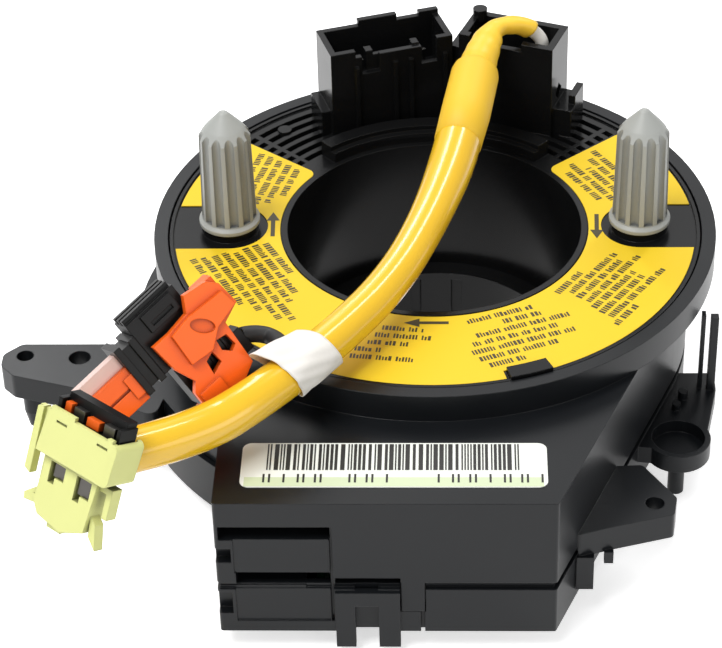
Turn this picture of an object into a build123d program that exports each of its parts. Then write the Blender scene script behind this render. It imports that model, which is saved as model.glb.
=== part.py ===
"""Steering clock spring: a fixed case with a steering angle sensor, a turning rotor, and its airbag leads.

Lengths are millimetres. The origin is where the rotor's axis crosses the plane on which the mounting
ears seat. +Z points to the steering wheel and the sensor box looks to -Y.
"""
from build123d import *
import math
import os

# Heights
rim_top = 25.2
rim_height = 5.4
case_bottom = -9.0
seam_level = 1.4
ear_thickness = 5.2

# Drum and rim of the case
rim_radius = 52.5
rim_width = 2.6
rim_step = 4.5
case_wall = 2.0
drum_wall = 1.6
flange_thickness = 1.6
web_level = 6.6
web_thickness = 1.9
seam_rebate = 0.8

# Sensor box in front of the drum
box_reach = 26.3
box_left = 36.7
side_angle = 22.5
box_corner_radius = 0.6

# Base and mounting ears
base_step = 10.0
base_from_deg = 150.0
base_to_deg = 233.0
ear_reach = 33.4
ear_back = 11.0
outer_hole_inset = (4.2, 3.6)
outer_hole_radius = 1.6
inner_hole_inset = (14.6, 4.2)
inner_hole_radius = 2.05
left_pin_inset = (5.1, 6.0)
left_pin_radius = 1.75
left_pin_taper_from = -5.5
left_boss_radius = 3.4
lug_hole_reach = 10.305
lug_hole_y = -57.0
lug_hole_radius = 1.65
right_pin_reach = 6.3
right_pin_y = -33.0
right_pin_radius = 1.5
right_pin_end = -12.0
cup_radius = 5.9
cup_low = -3.2
cup_top = 0.4

# Rotor
bore_radius = 27.5
sleeve_wall = 1.8
sleeve_end = -3.3
hub_radius = 23.6
hub_end = -13.4
hub_slots_deg = (35, 80, 100, 145, 215, 325)
plate_thickness = 2.0
plate_drop = 0.6
running_gap = 0.3
lip_width = 1.2
label_gap = 0.2
label_margin = 1.0
align_from_deg = -74.0
align_to_deg = -65.0
label_thickness = 0.2
label_from_deg = 142.0
label_to_deg = 401.0
label_corner_radius = 1.8
curb_height = 3.2
curb_width = 4.2
grille_slot = 1.3
grille_pitch = 2.5
grille_slots = 6

# Posts that the steering wheel's hub takes
post_from_bore = 10.8
post_set_back = 0.4
post_rise = 1.8
post_height = 24.0
post_head = 5.0
post_base_radius = 5.1
post_top_radius = 4.75
post_flange_radius = 5.7
post_window_radius = 7.1
post_flutes = 12
flute_radius = 0.85

# Socket tower for the wheel's switches
socket_centre = (-9.9, 39.7)
socket_turn_deg = 18.4
socket_width = 24.8
socket_depth = 10.4
socket_height = 18.5
socket_wall = 1.2
socket_floor = 6.5
pin_size = 0.64
pin_count = 6
pin_pitch = 3.2

# Tower where the airbag leads come out
exit_centre = (15.4, 38.8)
exit_turn_deg = -20.2
exit_width = 19.2
exit_depth = 9.8
exit_height = 19.5
exit_wall = 1.4
exit_floor = 5.0

# Steering angle sensor
gear_module = 1.0
ring_teeth = 72
gear_a_teeth = 24
gear_b_teeth = 22
gear_a_deg = 252.0
gear_b_deg = 290.0
gear_width = 3.6
gear_level = 2.0
pivot_radius = 1.5
pivot_gap = 0.06
magnet_radius = 3.2
magnet_thickness = 1.4
magnet_gap = 0.3
board_level = -3.4
board_thickness = 1.6
board_margin = 1.0
board_right = 21.0
board_back = 41.0
processor_place = (-1.5, -58.5)
processor_size = 9.0

# Harness sockets in the left end of the box
harness_depth = 14.0
harness_width = 12.0
harness_height = 7.0
harness_wall = 4.0
upper_harness_level = 6.0
lower_harness_level = -7.0
harness_pins = 6
harness_pitch = 1.7
harness_pin_recess = 6.5
upper_pin_rise = 3.5
lower_pin_rise = 2.0

# Flat cable wound in the drum
cable_turns = 6
cable_thickness = 0.4
cable_side_gap = 2.3
cable_end_gap = 1.5

# Printed plates
plate_label_size = (51.8, 11.6)
plate_label_centre = (-6.4, -64.3)
plate_label_thickness = 0.15

# Airbag leads
sleeve_radius = 3.1
tube_radius = 3.8
tape_thickness = 0.35
tape_length = 11.0
branch_radius = 1.5
wire_radius = 1.0
WIRE_ROUTE = [(20.8, 36.1, 30.6), (20.8, 36.1, 40.6), (19.0, 36.6, 44.6)]
SLEEVE_ROUTE = [(19.0, 36.6, 44.6), (16.6, 35.9, 49.0), (11.6, 34.0, 48.4), (8.62, 31.27, 43.97), (7.6, 25.5, 42.7)]
TUBE_ROUTE = [
    (7.6, 25.5, 42.7),
    (4.0, 5.1, 38.2),
    (-0.9, -14.2, 35.7),
    (-8.0, -31.0, 33.6),
    (-17.6, -45.2, 32.2),
    (-28.6, -58.6, 31.4),
    (-39.2, -66.4, 28.6),
    (-51.8, -74.5, 30.7),
]
BRANCH_POINTS = [(-30.3, -43.4, 34.7), (-27.0, -43.6, 36.0), (-25.8, -49.6, 35.8)]

# Plug A, the one that hangs at the end of the tube
plug_a_centre = (-55.2, -77.9, 35.2)
plug_a_width_dir = (0.769, -0.639, 0.0)
plug_a_face_dir = (-0.585, -0.703, 0.404)
plug_a_thickness = 4.8
lock_a_span = (-10.3, 6.6)
lock_a_height = 7.8
lock_wall = 0.8
lock_gap = 0.4
lock_b_thickness = 1.5
boot_radius = 4.3

# Plug B, the one on the short branch
plug_b_centre = (-44.0, -54.4, 38.0)
plug_b_length_dir = (0.693, 0.613, 0.379)
plug_b_face_dir = (0.438, -0.776, 0.453)
plug_b_thickness = 6.6
plug_b_cable_end = (11.4, -8.9, -4.0)

# Worked out from the above
drum_radius = rim_radius - rim_step
box_front = drum_radius + box_reach
base_radius = drum_radius + base_step
ear_end = drum_radius + ear_reach
harness_front = box_front - harness_wall
post_place = bore_radius + post_from_bore
label_inner_radius = bore_radius + lip_width + label_gap
curb_inner_radius = bore_radius + lip_width + 0.1
curb_radius = curb_inner_radius + curb_width
box_top = rim_top - rim_height
plate_top = rim_top - plate_drop
plate_low = plate_top - plate_thickness
plate_radius = rim_radius - rim_width - running_gap
label_outer_radius = plate_radius - label_margin
sleeve_radius_outer = bore_radius + sleeve_wall
web_top = web_level + web_thickness
lower_sleeve_radius = sleeve_radius_outer + 1.6
web_hole_radius = lower_sleeve_radius + running_gap
slope = math.radians(side_angle)
ring_pitch_radius = gear_module * ring_teeth / 2
floor_top = case_bottom + case_wall
harness_back = box_left - harness_depth
board_left = -harness_back + 2.7
board_front = -box_front + case_wall + board_margin
cable_inner_radius = sleeve_radius_outer + cable_side_gap
cable_pitch = (drum_radius - drum_wall - cable_side_gap - cable_inner_radius) / cable_turns
cable_height = plate_low - web_top - 2 * cable_end_gap


def disc(radius, low, high, place=(0, 0)):
    """A round solid between two heights."""
    return Pos(place[0], place[1], low) * extrude(Circle(radius), amount=high - low)


def ring(outer, inner, low, high, place=(0, 0)):
    """A ring between two heights."""
    return Pos(place[0], place[1], low) * extrude(Circle(outer) - Circle(inner), amount=high - low)


def block(x_span, y_span, z_span):
    """A box given by its three spans."""
    size = [high - low for low, high in (x_span, y_span, z_span)]
    return Pos(x_span[0], y_span[0], z_span[0]) * Box(*size, align=(Align.MIN, Align.MIN, Align.MIN))


def slab(points, low, high, corner=0.0):
    """A flat solid over a polygon, with its corners rounded."""
    face = make_face(Polyline(*points, close=True))
    if corner > 0:
        face = fillet(face.vertices(), corner)
    return Pos(0, 0, low) * extrude(face, amount=high - low)


def polar(radius, angle_deg):
    """The point at a radius and an angle from +X."""
    return (radius * math.cos(math.radians(angle_deg)), radius * math.sin(math.radians(angle_deg)))


def arc_band(outer, inner, from_deg, to_deg):
    """A face between two radii and two angles."""
    turn = to_deg - from_deg
    edges = [
        CenterArc((0, 0), outer, from_deg, turn),
        Line(polar(outer, to_deg), polar(inner, to_deg)),
        CenterArc((0, 0), inner, from_deg, turn),
        Line(polar(inner, from_deg), polar(outer, from_deg)),
    ]
    return make_face(edges)


def band(outer, inner, from_deg, to_deg, low, high):
    """A solid part of a ring."""
    return Pos(0, 0, low) * extrude(arc_band(outer, inner, from_deg, to_deg), amount=high - low)


def one_solid(shape):
    """The shape's single solid."""
    return shape.solids().sort_by(lambda s: s.volume)[-1]


# ---------------------------------------------------------------- case

def case_outline(inset=0.0):
    """Plan of the drum and of the sensor box in front of it, drawn in by the inset."""
    radius = drum_radius - inset
    front = -box_front + inset
    left = -box_left + inset
    right = radius / math.cos(slope) + front * math.tan(slope)
    touch = (radius * math.cos(slope), -radius * math.sin(slope))
    box = make_face(Polyline((left, front), (right, front), touch, (0, 0), (left, 0), close=True))
    corners = [v for v in box.vertices() if v.Y < front + 0.01]
    return fillet(corners, max(box_corner_radius - inset, 0.3)) + Circle(radius)


def side_x(y, offset=0.0):
    """X of the slanted right-hand wall at a given Y, with an offset to its outside."""
    return (drum_radius + offset) / math.cos(slope) + y * math.tan(slope)


def outline_slab(inset, low, high):
    return Pos(0, 0, low) * extrude(case_outline(inset), amount=high - low)


def front_cuts(specs):
    """Shallow recesses in the front wall, each given by X span, Z span and depth."""
    cuts = [block(x, (-box_front - 1, -box_front + depth), z) for x, z, depth in specs]
    return Part() + cuts


UPPER_RECESSES = [
    ((-36.0, -17.2), (11.7, 14.7), 3.4),
    ((-33.6, -17.4), (4.3, 11.7), 0.3),
    ((-37.0, -34.0), (6.7, 9.8), 1.8),
    ((-33.4, -17.3), (0.9, 4.3), 3.4),
    ((-17.3, -16.8), (0.9, 14.7), 0.9),
    ((-16.5, -5.4), (0.5, 3.2), 2.6),
]
LOWER_RECESSES = [
    ((-33.6, -17.4), (-6.7, 1.6), 0.3),
    ((-37.0, -34.2), (-4.9, 0.0), 1.8),
    ((-17.3, -16.8), (-6.7, 1.6), 0.9),
    ((-13.2, -9.2), (-10.0, 1.6), 0.9),
    ((-5.5, -1.1), (-4.4, 1.6), 1.5),
    ((-2.0, -1.3), (-9.5, -4.3), 0.9),
]
tab_span = (-5.3, -1.3)
tab_depth = 1.3
tab_end = -4.3
backing_depth = 4.0


def harness_pocket(level):
    """The socket space that opens in the box's left end."""
    y_span = (-harness_front, -harness_front + harness_width)
    return block((-box_left - 1, -harness_back), y_span, (level, level + harness_height))


def harness_walls(level, roof):
    """The walls round one harness socket, with a roof of the given thickness."""
    y_span = (-box_front + 0.5, -harness_front + harness_width + 1.2)
    z_span = (level - 1.2, level + harness_height + roof)
    return block((-box_left + 0.5, -harness_back + 1.2), y_span, z_span)


def ear_place(inset):
    """A place on the long ear, by how far it is in from its end and from its back edge."""
    return (-ear_end + inset[0], -ear_back - inset[1])


def left_ear():
    """The long ear at the left, with two holes and a locating pin."""
    points = [
        (-ear_end + 3.2, -ear_back),
        (-ear_end, -ear_back - 3.2),
        (-ear_end, -ear_back - 6.8),
        (-ear_end + 2.6, -ear_back - 9.6),
        (-ear_end + 15.4, -ear_back - 13.6),
        (-drum_radius - 3.0, -ear_back - 22.0),
        (-drum_radius + 2.0, -ear_back),
    ]
    pin_place = ear_place(left_pin_inset)
    ear = slab(points, 0, ear_thickness, 1.9)
    ear += disc(left_boss_radius, 0, ear_thickness, pin_place)
    ear += disc(left_pin_radius, left_pin_taper_from, 1.0, pin_place)
    ear += Pos(*pin_place, case_bottom) * Cone(
        left_pin_radius * 0.6,
        left_pin_radius,
        left_pin_taper_from - case_bottom,
        align=(Align.CENTER, Align.CENTER, Align.MIN),
    )
    ear -= disc(outer_hole_radius, -1, ear_thickness + 1, ear_place(outer_hole_inset))
    ear -= disc(inner_hole_radius, -1, ear_thickness + 1, ear_place(inner_hole_inset))
    ear -= disc(base_radius + running_gap, -2, seam_level)
    ear -= disc(drum_radius - drum_wall / 2, -2, ear_thickness + 1)
    return ear


def right_lug():
    """The triangular lug beside the slanted wall."""
    inner = -case_wall / 2
    x, y = side_x(lug_hole_y) + lug_hole_reach, lug_hole_y
    points = [
        (side_x(y + 10.0, inner), y + 10.0),
        (side_x(y + 10.0) + 4.6, y + 10.3),
        (x + 3.95, y + 1.4),
        (x + 3.25, y - 3.0),
        (side_x(y - 6.6) + 5.2, y - 6.4),
        (side_x(y - 9.0, inner), y - 9.0),
    ]
    lug = slab(points, 0, ear_thickness, 1.0)
    lug += block((side_x(y - 8.8, inner), side_x(y - 8.8) + 3.2), (y - 8.8, y - 7.3), (-7.0, 0.3))
    lug += block((side_x(y - 8.8) + 5.0, side_x(y - 8.8) + 6.6), (y - 7.4, y - 6.2), (-2.2, 0.3))
    return lug - disc(lug_hole_radius, -1, ear_thickness + 1, (x, y))


def right_bracket():
    """The open cup with a locating pin under it, and the upright rails beside it."""
    inner = -case_wall / 2
    x, y = side_x(right_pin_y) + right_pin_reach, right_pin_y
    points = [
        (side_x(y - 2.6, inner), y - 2.6),
        (x - 4.6, y - 3.2),
        (x + 5.4, y + 1.6),
        (x + 7.9, y + 14.0),
        (x + 7.9, y + 19.0),
        (side_x(y + 19.0, inner), y + 19.0),
    ]
    bracket = slab(points, cup_low, cup_top)
    bracket -= outline_slab(case_wall, cup_low - 1, cup_top + 1)
    bracket += disc(cup_radius, cup_low, cup_top, (x, y))
    bracket -= disc(cup_radius - 1.1, cup_low + 1.0, cup_top + 1, (x, y))
    bracket += disc(right_pin_radius, right_pin_end, cup_low + 0.1, (x, y))
    bracket += disc(0.8, cup_low - 3.0, cup_low + 0.1, (x + 3.6, y + 2.4))
    bracket += disc(0.9, cup_top - 0.1, cup_top + 1.6, (x + 1.6, y + 11.6))
    bracket += disc(0.8, cup_top - 0.1, cup_top + 1.2, (x + 0.2, y + 8.4))
    bracket += block((x + 6.2, x + 7.6), (y + 13.8, y + 15.4), (cup_low, 17.0))
    bracket += block((x + 4.6, x + 5.3), (y + 14.4, y + 16.0), (cup_low, 17.2))
    return bracket


SCREW_PLACES = [
    (-box_left + 5.7, -drum_radius - 4.5),
    (side_x(-box_front + 5.3) - 7.8, -box_front + 5.3),
    polar(drum_radius + base_step / 2, 176.5),
]
screw_shank_radius = 1.2
screw_head_radius = 2.6
screw_boss_radius = 3.6
screw_head_height = 1.8
screw_length = 12.2
screw_head_low = case_bottom + 0.6


def upper_case():
    """Rim, drum, ribbon chamber and the upper half of the sensor box with its ears."""
    case = outline_slab(0, seam_level, box_top)
    case -= outline_slab(case_wall, seam_level - 1, box_top - case_wall)
    case += ring(drum_radius, drum_radius - drum_wall, web_level, box_top)
    case += ring(drum_radius, web_hole_radius, web_level, web_top)
    case -= outline_slab(0, seam_level, seam_level + seam_rebate) - outline_slab(
        seam_rebate, seam_level, seam_level + seam_rebate
    )
    case += ring(rim_radius, drum_radius - drum_wall, box_top, box_top + flange_thickness)
    case += ring(rim_radius, rim_radius - rim_width, box_top, rim_top)
    flange = band(base_radius - 1.0, drum_radius - 1.0, base_from_deg, base_to_deg, seam_level, ear_thickness)
    case += flange
    case += left_ear()
    case += right_lug()
    for angle, teeth in ((gear_a_deg, gear_a_teeth), (gear_b_deg, gear_b_teeth)):
        place = polar(ring_pitch_radius + gear_module * teeth / 2, angle)
        case += disc(3.0, gear_level + gear_width + 0.4, box_top - case_wall + 0.1, place)
        case += disc(pivot_radius, gear_level + magnet_gap, gear_level + gear_width + 0.5, place)
    for place in SCREW_PLACES[:2]:
        case += disc(3.0, seam_level, box_top - case_wall + 0.1, place)
    for place in SCREW_PLACES:
        case -= disc(screw_shank_radius + 0.05, seam_level - 1, screw_head_low + screw_length + 0.6, place)
    case -= disc(drum_radius - drum_wall, web_top, box_top + 1)
    case += harness_walls(upper_harness_level, 2.4)
    backing = (-box_front + 0.5, -box_front + backing_depth)
    case += block((-box_left + 0.5, -4.4), backing, (seam_level, upper_harness_level - 1.0))
    case += block((-harness_back, -16.4), backing, (upper_harness_level + 5.0, upper_harness_level + 9.4))
    case -= harness_pocket(upper_harness_level)
    case -= front_cuts(UPPER_RECESSES)
    case -= outline_slab(-0.1, case_bottom - 1, seam_level)
    case += block(tab_span, (-box_front, -box_front + tab_depth), (tab_end, seam_level + seam_rebate + 0.2))
    return one_solid(case)


def lower_case():
    """The bottom cover: floor, round base and the lower half of the sensor box."""
    case = outline_slab(0, case_bottom, seam_level)
    case -= outline_slab(case_wall, floor_top, seam_level + 1)
    case -= outline_slab(0, seam_level - seam_rebate, seam_level) - outline_slab(
        seam_rebate, seam_level - seam_rebate, seam_level
    )
    case += band(base_radius, drum_radius - 1.0, base_from_deg, base_to_deg, case_bottom, seam_level - 0.2)
    case += disc(1.5, case_bottom, case_bottom + 4.6, polar(base_radius + 0.4, 204))
    case += ring(web_hole_radius + 2.0, web_hole_radius, case_bottom, floor_top + 3.0)
    case -= disc(web_hole_radius + 0.2, case_bottom - 1, seam_level + 1)
    for place in SCREW_PLACES[:2]:
        case += disc(screw_boss_radius, case_bottom, seam_level, place)
    for place in SCREW_PLACES:
        case -= disc(screw_shank_radius + 0.3, case_bottom - 1, seam_level + 1, place)
        case -= disc(screw_head_radius + 0.2, case_bottom - 1, screw_head_low + screw_head_height, place)
    case += harness_walls(lower_harness_level, 1.2)
    case -= harness_pocket(lower_harness_level)
    case -= front_cuts(LOWER_RECESSES)
    latch = (-box_front - 0.9, -box_front + 0.5)
    for x_span in ((-16.6, -13.2), (-9.2, -5.5)):
        case += block(x_span, latch, (case_bottom - 2.9, 0.5))
    case += block((-16.6, -5.5), latch, (-2.5, 0.5))
    case += right_bracket()
    for x, y in BOARD_POSTS:
        case += disc(1.8, floor_top - 0.1, board_level, (x, y))
    return one_solid(case)


BOARD_POSTS = [
    (board_left + 5.0, board_front + 4.8),
    (3.0, board_front + 4.8),
    (-8.0, -board_back - 1.0),
    (8.0, -board_back - 1.0),
]


def circuit_board():
    """The sensor's board, which follows the walls and goes round a screw boss."""
    low, high = board_level, board_level + board_thickness
    board = outline_slab(case_wall + board_margin, low, high)
    board &= block((board_left, board_right), (board_front - 1, -board_back), (low, high))
    board -= disc(screw_boss_radius + 0.5, low - 1, high + 1, SCREW_PLACES[1])
    for place in header_pin_places():
        board -= disc(0.55, board_level - 1, board_level + board_thickness + 1, place)
    return one_solid(board)


def header_pin_places():
    """Where the harness pins stand in the board, two rows."""
    middle = -harness_front + harness_width / 2
    rows = []
    for row_x in (board_left + 1.8, board_left + 4.6):
        for i in range(harness_pins):
            rows.append((row_x, middle + (i - (harness_pins - 1) / 2) * harness_pitch))
    return rows


def header_pins():
    """Bent pins from the board into the two harness sockets."""
    half = pin_size / 2
    tip_x = -box_left + harness_pin_recess
    pins = []
    for index, (x, y) in enumerate(header_pin_places()):
        upper = index >= harness_pins
        level = upper_harness_level + upper_pin_rise if upper else lower_harness_level + lower_pin_rise
        low = board_level - 1.0
        y_span = (y - half, y + half)
        upright = block((x - half, x + half), y_span, (min(low, level - half), max(level + half, low + 4.0)))
        pins.append(upright + block((tip_x, x + half), y_span, (level - half, level + half)))
    return Compound(children=[one_solid(p) for p in pins])


def sensor_chips():
    """The two magnetic sensors under the gears and the processor between them."""
    top = board_level + board_thickness
    chips = []
    for angle, teeth in ((gear_a_deg, gear_a_teeth), (gear_b_deg, gear_b_teeth)):
        x, y = polar(ring_pitch_radius + gear_module * teeth / 2, angle)
        chips.append(block((x - 2.0, x + 2.0), (y - 2.5, y + 2.5), (top, top + 1.1)))
    x, y = processor_place
    half = processor_size / 2
    chips.append(block((x - half, x + half), (y - half, y + half), (top, top + 1.4)))
    return Compound(children=chips)


def case_screws():
    """Three pan head screws that hold the bottom cover, with cross recesses."""
    screws = []
    for x, y in SCREW_PLACES:
        screw = disc(screw_head_radius, screw_head_low, screw_head_low + screw_head_height, (x, y))
        screw += disc(screw_shank_radius, screw_head_low, screw_head_low + screw_length, (x, y))
        for size in ((2.8, 0.7), (0.7, 2.8)):
            screw -= Pos(x, y, screw_head_low) * Box(*size, 2.0)
        screws.append(one_solid(screw))
    return Compound(children=screws)


def glide_ring():
    """The slippery ring on which the rotor's plate runs."""
    low = box_top + flange_thickness
    return ring(plate_radius, drum_radius - drum_wall, low, plate_low - running_gap)


def plate_label():
    """The white plate on top of the box."""
    face = RectangleRounded(*plate_label_size, 1.6)
    return Pos(*plate_label_centre, box_top) * extrude(face, amount=plate_label_thickness)


# ---------------------------------------------------------------- rotor

def tower_frame(centre, turn_deg):
    """A place on the rotor's plate for a tower, x across it and y away from the bore."""
    return Pos(centre[0], centre[1], plate_top) * Rot(0, 0, turn_deg)


def socket_tower():
    """The open-topped socket: outer block, key notches, latch, ribs and the raised tabs at the back."""
    w, d, h, t = socket_width, socket_depth, socket_height, socket_wall
    tower = block((-w / 2, w / 2), (-d / 2, d / 2), (-plate_thickness, h))
    tower -= block((-w / 2 + t, w / 2 - t), (-d / 2 + t, d / 2 - t), (socket_floor, h + 1))
    front = -d / 2
    for start, end, flare in ((6.3, 9.9, 5.0), (18.4, 21.6, 18.4)):
        tower -= block((-w / 2 + start, -w / 2 + end), (front - 1, front + t), (h - 5.2, h + 1))
        tower -= block((-w / 2 + flare, -w / 2 + end), (front - 1, front + t), (h - 1.4, h + 1))
    tower -= block((-w / 2 + 9.8, -w / 2 + 18.5), (front - 1, front + t), (h - 1.3, h + 1))
    tower += block((-w / 2 + 7.4, -w / 2 + 18.2), (front + t - 0.1, front + t + 0.9), (socket_floor, h - 1.9))
    for start in (7.4, 16.8):
        tower += block((-w / 2 + start, -w / 2 + start + 1.4), (front + t - 0.1, front + t + 1.8), (h - 4.0, h - 0.9))
    tower += block((-w / 2 + 8.3, -w / 2 + 16.2), (d / 2 - t, d / 2), (h - 1, h + 1.3))
    tower += block((w / 2 - 4.0, w / 2), (d / 2 - t, d / 2), (h - 1, h + 0.9))
    for x in (4.8, 12.6, 15.8, 22.8):
        tower += block((-w / 2 + x, -w / 2 + x + 0.8), (-d / 2 - 0.7, -d / 2 + 0.2), (-plate_thickness, h - 3.4))
    tower += block((-w / 2 - 1.8, -w / 2 + 1), (-d / 2 + 1.5, d / 2 - 1), (-plate_thickness, 5.2))
    return tower_frame(socket_centre, socket_turn_deg) * tower


def exit_tower():
    """The open-topped box from which the airbag leads come, with its lug and foot."""
    w, d, h, t = exit_width, exit_depth, exit_height, exit_wall
    tower = block((-w / 2, w / 2), (-d / 2, d / 2), (-plate_thickness, h))
    tower -= block((-w / 2 + t, w / 2 - t), (-d / 2 + t, d / 2 - t), (exit_floor, h + 1))
    tower -= block((-w / 2 + 2.2, -w / 2 + 12.8), (-d / 2 - 1, -d / 2 + t), (h - 1.6, h + 1))
    tower += Pos(-w / 2 + 1.4, d / 2 - 1.4, h - 1) * Cylinder(1.4, 2.4, align=(Align.CENTER, Align.CENTER, Align.MIN))
    tower += block((-w / 2 - 2.4, -w / 2 + 1), (-d / 2 + 1.6, d / 2 - 2.0), (-plate_thickness, h - 4.0))
    tower += block((w / 2 - 1, w / 2 + 3.8), (-d / 2 + 0.8, d / 2 - 1.2), (-plate_thickness, 6.0))
    tower += block((w / 2 + 2.4, w / 2 + 3.8), (-d / 2 + 3.4, d / 2 - 1.2), (-plate_thickness, 8.0))
    tower -= Pos(w / 2, -0.6, 8.0) * Rot(45, 0, 0) * Box(2 * t + 1, 2.6, 2.6)
    return tower_frame(exit_centre, exit_turn_deg) * tower


def rotor():
    """Plate, inner sleeve, curb, grille and both towers, moulded in one piece."""
    body = ring(plate_radius, bore_radius, plate_low, plate_top)
    body += ring(sleeve_radius_outer, bore_radius, sleeve_end, plate_top)
    body += ring(bore_radius + lip_width, bore_radius, plate_top - 0.1, plate_top + 0.3)
    body += ring(plate_radius, label_outer_radius + 0.3, plate_low, plate_top + 0.4)
    body += band(curb_radius, curb_inner_radius, 48, 132, plate_top - 0.5, plate_top + curb_height)
    lip_low = plate_top + curb_height - 1.0
    body -= band(curb_inner_radius + 1.2, curb_inner_radius - 1, 47, 133, lip_low, lip_low + 2)
    align_inner = label_outer_radius - 2.0
    body += band(plate_radius, align_inner, align_from_deg, align_to_deg, plate_top - 0.5, plate_top + 1.2)
    for from_deg, to_deg in ((107, 137.8), (139.2, 141.4), (45.6, 57), (41.8, 44.2)):
        for i in range(grille_slots):
            inner = curb_radius + 0.2 + i * grille_pitch
            body -= band(inner + grille_slot, inner, from_deg, to_deg, plate_top - 1.4, plate_top + 1)
    body += disc(1.4, plate_low, plate_top + 0.4, polar(44.7, 131.8))
    body += socket_tower()
    body += exit_tower()
    body -= disc(bore_radius, sleeve_end - 1, rim_top + 20)
    for place in ((-post_place, -post_set_back), (post_place, -post_set_back)):
        body += disc(post_base_radius + 0.2, plate_low, plate_top + post_rise, place)
        body -= disc(2.2, plate_low - 1, plate_top + post_rise + 1, place)
    return one_solid(body)


def gear_face(teeth, bore, phase_deg):
    """A spur gear's face with straight-flanked teeth and some backlash."""
    pitch_radius = gear_module * teeth / 2
    half_pitch_tooth = 0.625 * gear_module
    tip_radius = pitch_radius + 0.75 * gear_module
    root_radius = pitch_radius - 1.05 * gear_module
    half_tip = half_pitch_tooth - 0.75 * gear_module * math.tan(math.radians(20))
    half_root = half_pitch_tooth + 1.05 * gear_module * math.tan(math.radians(20))
    points = []
    for i in range(teeth):
        middle = phase_deg + i * 360 / teeth
        for radius, half in (
            (root_radius, -half_root),
            (tip_radius, -half_tip),
            (tip_radius, half_tip),
            (root_radius, half_root),
        ):
            points.append(polar(radius, middle + math.degrees(half / radius)))
    return make_face(Polyline(*points, close=True)) - Circle(bore)


def lower_rotor():
    """The ring that snaps on the sleeve from below and carries the ring gear."""
    body = ring(lower_sleeve_radius, sleeve_radius_outer, sleeve_end - 0.1, web_top + 0.6)
    body += ring(lower_sleeve_radius, hub_radius, hub_end, sleeve_end)
    for angle in hub_slots_deg:
        slot = block((hub_radius - 1, hub_radius + 0.8), (-1.1, 1.1), (hub_end - 1, sleeve_end - 1.4))
        body -= Rot(0, 0, angle) * slot
    gear = gear_face(ring_teeth, sleeve_radius_outer, 0)
    body += Pos(0, 0, gear_level) * extrude(gear, amount=gear_width)
    return one_solid(body)


def sensor_gear(teeth, angle):
    """A sensor gear in mesh with the ring gear, on its pivot."""
    pitch = 360 / ring_teeth
    offset = (angle + pitch / 2) % pitch - pitch / 2
    gap_at = angle + 180 + offset * ring_teeth / teeth
    face = gear_face(teeth, pivot_radius + pivot_gap, gap_at + 180 / teeth)
    x, y = polar(ring_pitch_radius + gear_module * teeth / 2, angle)
    gear = Pos(x, y, gear_level) * extrude(face, amount=gear_width)
    return one_solid(gear)


def magnet(teeth, angle):
    """The round magnet under a sensor gear."""
    place = polar(ring_pitch_radius + gear_module * teeth / 2, angle)
    return disc(magnet_radius, gear_level - magnet_thickness, gear_level, place)


def flat_cable():
    """The wound flat cable, drawn as half turns whose centres step to and fro."""
    outer_edges = []
    inner_edges = []
    for i in range(2 * cable_turns):
        radius = cable_inner_radius + i * cable_pitch / 2
        centre = (0, 0) if i % 2 == 0 else (cable_pitch / 2, 0)
        start = 0 if i % 2 == 0 else 180
        outer_edges.append(CenterArc(centre, radius + cable_thickness / 2, start, 180))
        inner_edges.append(CenterArc(centre, radius - cable_thickness / 2, start, 180))
    ends = [
        Line(outer_edges[0] @ 0, inner_edges[0] @ 0),
        Line(outer_edges[-1] @ 1, inner_edges[-1] @ 1),
    ]
    face = make_face(outer_edges + inner_edges + ends)
    return Pos(0, 0, web_top + cable_end_gap) * extrude(face, amount=cable_height)


def face_label():
    """The yellow horseshoe label, cut round the two posts and open to its outer edge there."""
    face = arc_band(label_outer_radius, label_inner_radius, label_from_deg, label_to_deg)
    face = fillet(face.vertices(), label_corner_radius)
    for side in (-1, 1):
        place = (side * post_place, -post_set_back)
        face -= Pos(*place) * Circle(post_window_radius)
        face -= Pos(side * (post_place + 7.0), -post_set_back) * Rectangle(14.0, 2 * post_window_radius)
    face -= arc_band(label_outer_radius + 1, label_outer_radius - 2.3, align_from_deg - 0.6, align_to_deg + 0.6)
    return Pos(0, 0, plate_top) * extrude(face, amount=label_thickness)


def post(side):
    """A tapered, fluted post with a pointed head, a flange and a spigot in the rotor's plate."""
    shoulder = post_height - post_head
    profile = make_face(
        Polyline(
            (0, 0),
            (post_flange_radius, 0),
            (post_flange_radius, 0.7),
            (post_base_radius, 1.3),
            (post_top_radius, shoulder),
            (post_top_radius - 1.2, shoulder + 1.7),
            (0.9, post_height - 0.3),
            (0.4, post_height),
            (0, post_height),
            close=True,
        )
    )
    body = revolve(Plane.XZ * profile, Axis.Z)
    lean = math.degrees(math.atan((post_base_radius - post_top_radius) / shoulder))
    for i in range(post_flutes):
        groove = Rot(0, 0, (i + 0.5) * 360 / post_flutes) * Pos(post_base_radius + 0.05, 0, 1.5) * Rot(0, -lean, 0)
        body -= groove * Cylinder(flute_radius, post_height, align=(Align.CENTER, Align.CENTER, Align.MIN))
    body += disc(2.1, -post_rise - plate_thickness, 0.1)
    return one_solid(Pos(side * post_place, -post_set_back, plate_top + post_rise) * body)


def socket_pins():
    """The switch socket's pins."""
    half = pin_size / 2
    pins = []
    for i in range(pin_count):
        x = (i - (pin_count - 1) / 2) * pin_pitch
        pins.append(block((x - half, x + half), (-half, half), (socket_floor + 0.4, socket_height - 5.0)))
    return Compound(children=[tower_frame(socket_centre, socket_turn_deg) * p for p in pins])


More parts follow.
